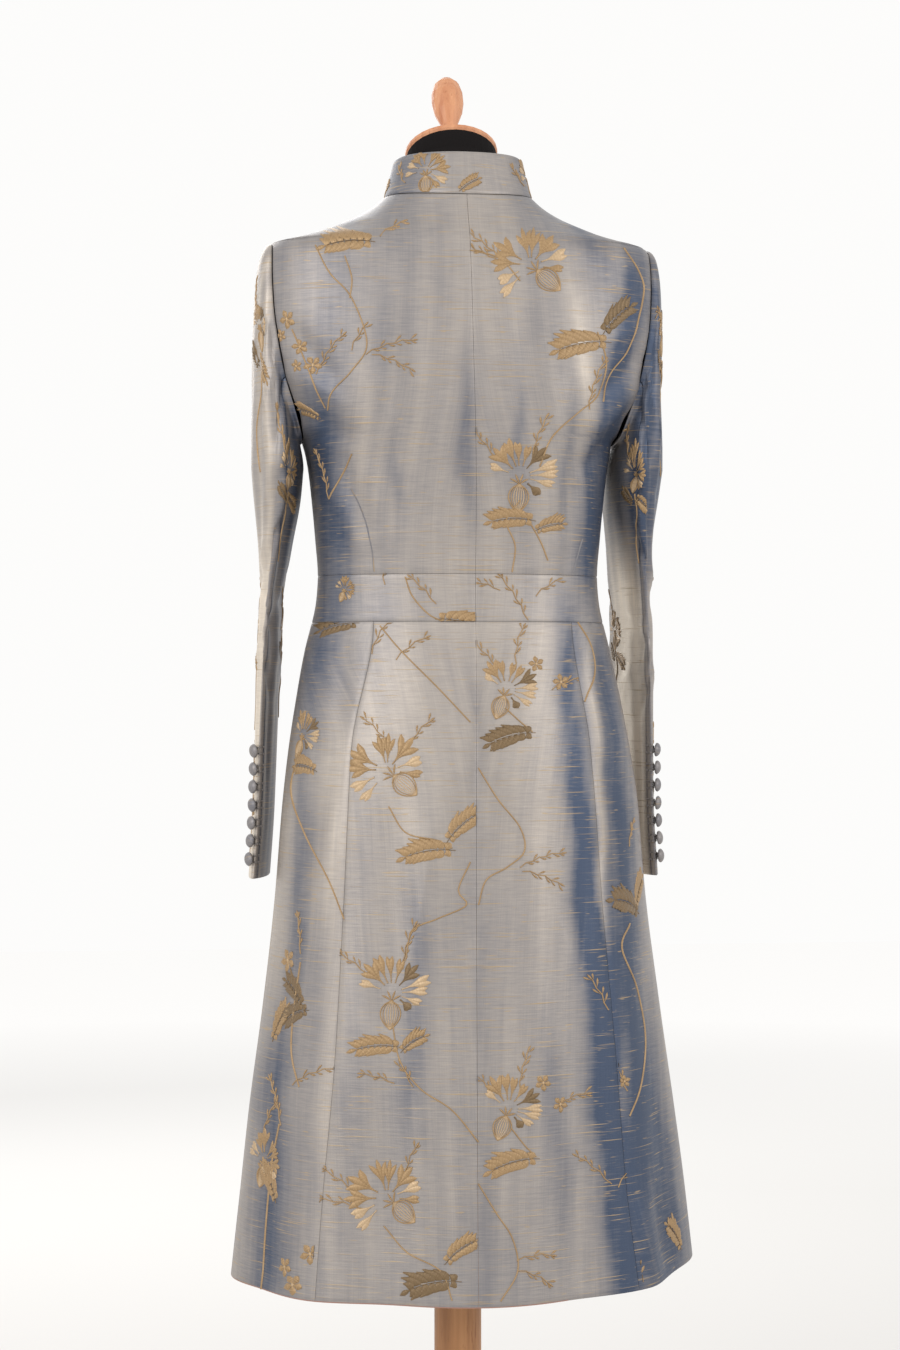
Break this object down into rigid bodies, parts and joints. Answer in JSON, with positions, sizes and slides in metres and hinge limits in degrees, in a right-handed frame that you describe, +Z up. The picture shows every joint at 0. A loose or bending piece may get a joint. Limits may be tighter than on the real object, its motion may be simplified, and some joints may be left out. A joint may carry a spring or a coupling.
{
  "type": "coat on dress form",
  "caption": "Fitted below-knee coat in embroidered shot silk with a stand collar and buttoned cuffs, worn by a limbless dress form on a turned wooden stand.",
  "frame": {"origin": "centre of the stand base's underside, on the floor", "axes": "+Z up; the coat's front faces -Y, its back +Y; the wearer's left is +X"},
  "size_m": [0.4637, 0.36, 1.5633],
  "materials": {
    "shot_silk": "lustrous shot silk",
    "black_cloth": "matt",
    "wood": "satin varnish"
  },
  "bodies": {
    "root": {"bodice_back_left": "shot_silk", "bodice_back_right": "shot_silk", "bodice_front_left": "shot_silk", "bodice_front_right": "shot_silk", "waistband_back_left": "shot_silk", "waistband_back_right": "shot_silk", "waistband_front_left": "shot_silk", "waistband_front_right": "shot_silk", "skirt_back_left": "shot_silk", "skirt_back_right": "shot_silk", "skirt_side_back_left": "shot_silk", "skirt_side_back_right": "shot_silk", "skirt_side_front_left": "shot_silk", "skirt_side_front_right": "shot_silk", "skirt_front_left": "shot_silk", "skirt_front_right": "shot_silk", "sleeve_top_left": "shot_silk", "sleeve_top_right": "shot_silk", "sleeve_under_left": "shot_silk", "sleeve_under_right": "shot_silk", "collar": "shot_silk", "cuff_button_left_1": "shot_silk", "cuff_button_left_2": "shot_silk", "cuff_button_left_3": "shot_silk", "cuff_button_left_4": "shot_silk", "cuff_button_left_5": "shot_silk", "cuff_button_left_6": "shot_silk", "cuff_button_left_7": "shot_silk", "cuff_button_right_1": "shot_silk", "cuff_button_right_2": "shot_silk", "cuff_button_right_3": "shot_silk", "cuff_button_right_4": "shot_silk", "cuff_button_right_5": "shot_silk", "cuff_button_right_6": "shot_silk", "cuff_button_right_7": "shot_silk", "front_button_1": "shot_silk", "front_button_2": "shot_silk", "front_button_3": "shot_silk", "front_button_4": "shot_silk", "front_button_5": "shot_silk", "front_button_6": "shot_silk", "front_button_7": "shot_silk", "front_button_8": "shot_silk", "cuff_loops_left": "shot_silk", "cuff_loops_right": "shot_silk", "front_loops": "shot_silk", "dress_form": "black_cloth", "neck_cap": "wood", "finial": "wood", "post": "wood", "stand_base": "wood"}
  },
  "joints": []
}
